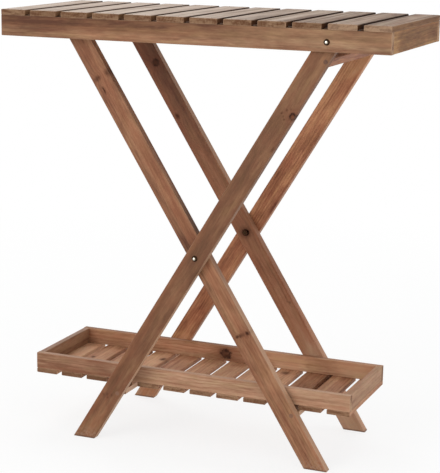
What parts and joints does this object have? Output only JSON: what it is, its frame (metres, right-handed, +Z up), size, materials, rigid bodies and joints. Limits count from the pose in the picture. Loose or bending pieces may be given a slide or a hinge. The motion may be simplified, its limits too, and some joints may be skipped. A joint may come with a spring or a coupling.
{
  "type": "folding plant rack",
  "caption": "Folding wooden plant rack: a slatted top on two crossed leg frames, with a loose slatted tray resting on their lower crossbars.",
  "frame": {"origin": "On the floor, under the middle of the top.", "axes": "+X along the top towards the end where it is bolted to the outer legs, +Y from front to rear, +Z up."},
  "size_m": [0.735, 0.3192, 0.8],
  "materials": {
    "leg_wood": "stained, satin",
    "top_wood": "stained, weathered on top",
    "tray_wood": "stained, satin",
    "steel": "zinc plated, dulled"
  },
  "bodies": {
    "outer_frame": {"outer_leg_front": "leg_wood", "outer_leg_rear": "leg_wood", "outer_upper_bar": "leg_wood", "outer_lower_bar": "leg_wood", "outer_bar_screws": "steel", "pivot_bolts": "steel", "pivot_washers": "steel", "pivot_nuts": "steel"},
    "inner_frame": {"inner_leg_front": "leg_wood", "inner_leg_rear": "leg_wood", "inner_upper_bar": "leg_wood", "inner_lower_bar": "leg_wood", "inner_bar_screws": "steel"},
    "top": {"top_rail_front": "top_wood", "top_rail_rear": "top_wood", "top_end_left": "top_wood", "top_end_right": "top_wood", "top_slat_01": "top_wood", "top_slat_02": "top_wood", "top_slat_03": "top_wood", "top_slat_04": "top_wood", "top_slat_05": "top_wood", "top_slat_06": "top_wood", "top_slat_07": "top_wood", "top_slat_08": "top_wood", "top_slat_09": "top_wood", "top_slat_10": "top_wood", "top_slat_11": "top_wood", "top_slat_12": "top_wood", "top_stop_batten": "top_wood", "top_bolts": "steel", "top_washers": "steel", "top_nuts": "steel"},
    "tray": {"tray_rail_front": "tray_wood", "tray_rail_rear": "tray_wood", "tray_end_left": "tray_wood", "tray_end_right": "tray_wood", "tray_slat_01": "tray_wood", "tray_slat_02": "tray_wood", "tray_slat_03": "tray_wood", "tray_slat_04": "tray_wood", "tray_slat_05": "tray_wood", "tray_slat_06": "tray_wood", "tray_slat_07": "tray_wood", "tray_slat_08": "tray_wood", "tray_slat_09": "tray_wood", "tray_slat_10": "tray_wood", "tray_slat_11": "tray_wood", "tray_slat_12": "tray_wood"}
  },
  "joints": [
    {"name": "leg_fold", "type": "hinge", "parent": "outer_frame", "child": "inner_frame", "pos_m": [0.014, 0, 0.3705], "axis": [0, 1, 0], "range_deg": [0, 55]},
    {"name": "top_tilt", "type": "hinge", "parent": "outer_frame", "child": "top", "pos_m": [0.2556, 0, 0.769], "axis": [0, 1, 0], "range_deg": [0, 41.25]},
    {"name": "tray_lift", "type": "slide", "parent": "outer_frame", "child": "tray", "axis": [0, 0, 1], "range_m": [0, 0.15]}
  ],
  "couplings": [
    {"joint": "top_tilt", "follows": "leg_fold", "ratio": 0.75}
  ]
}
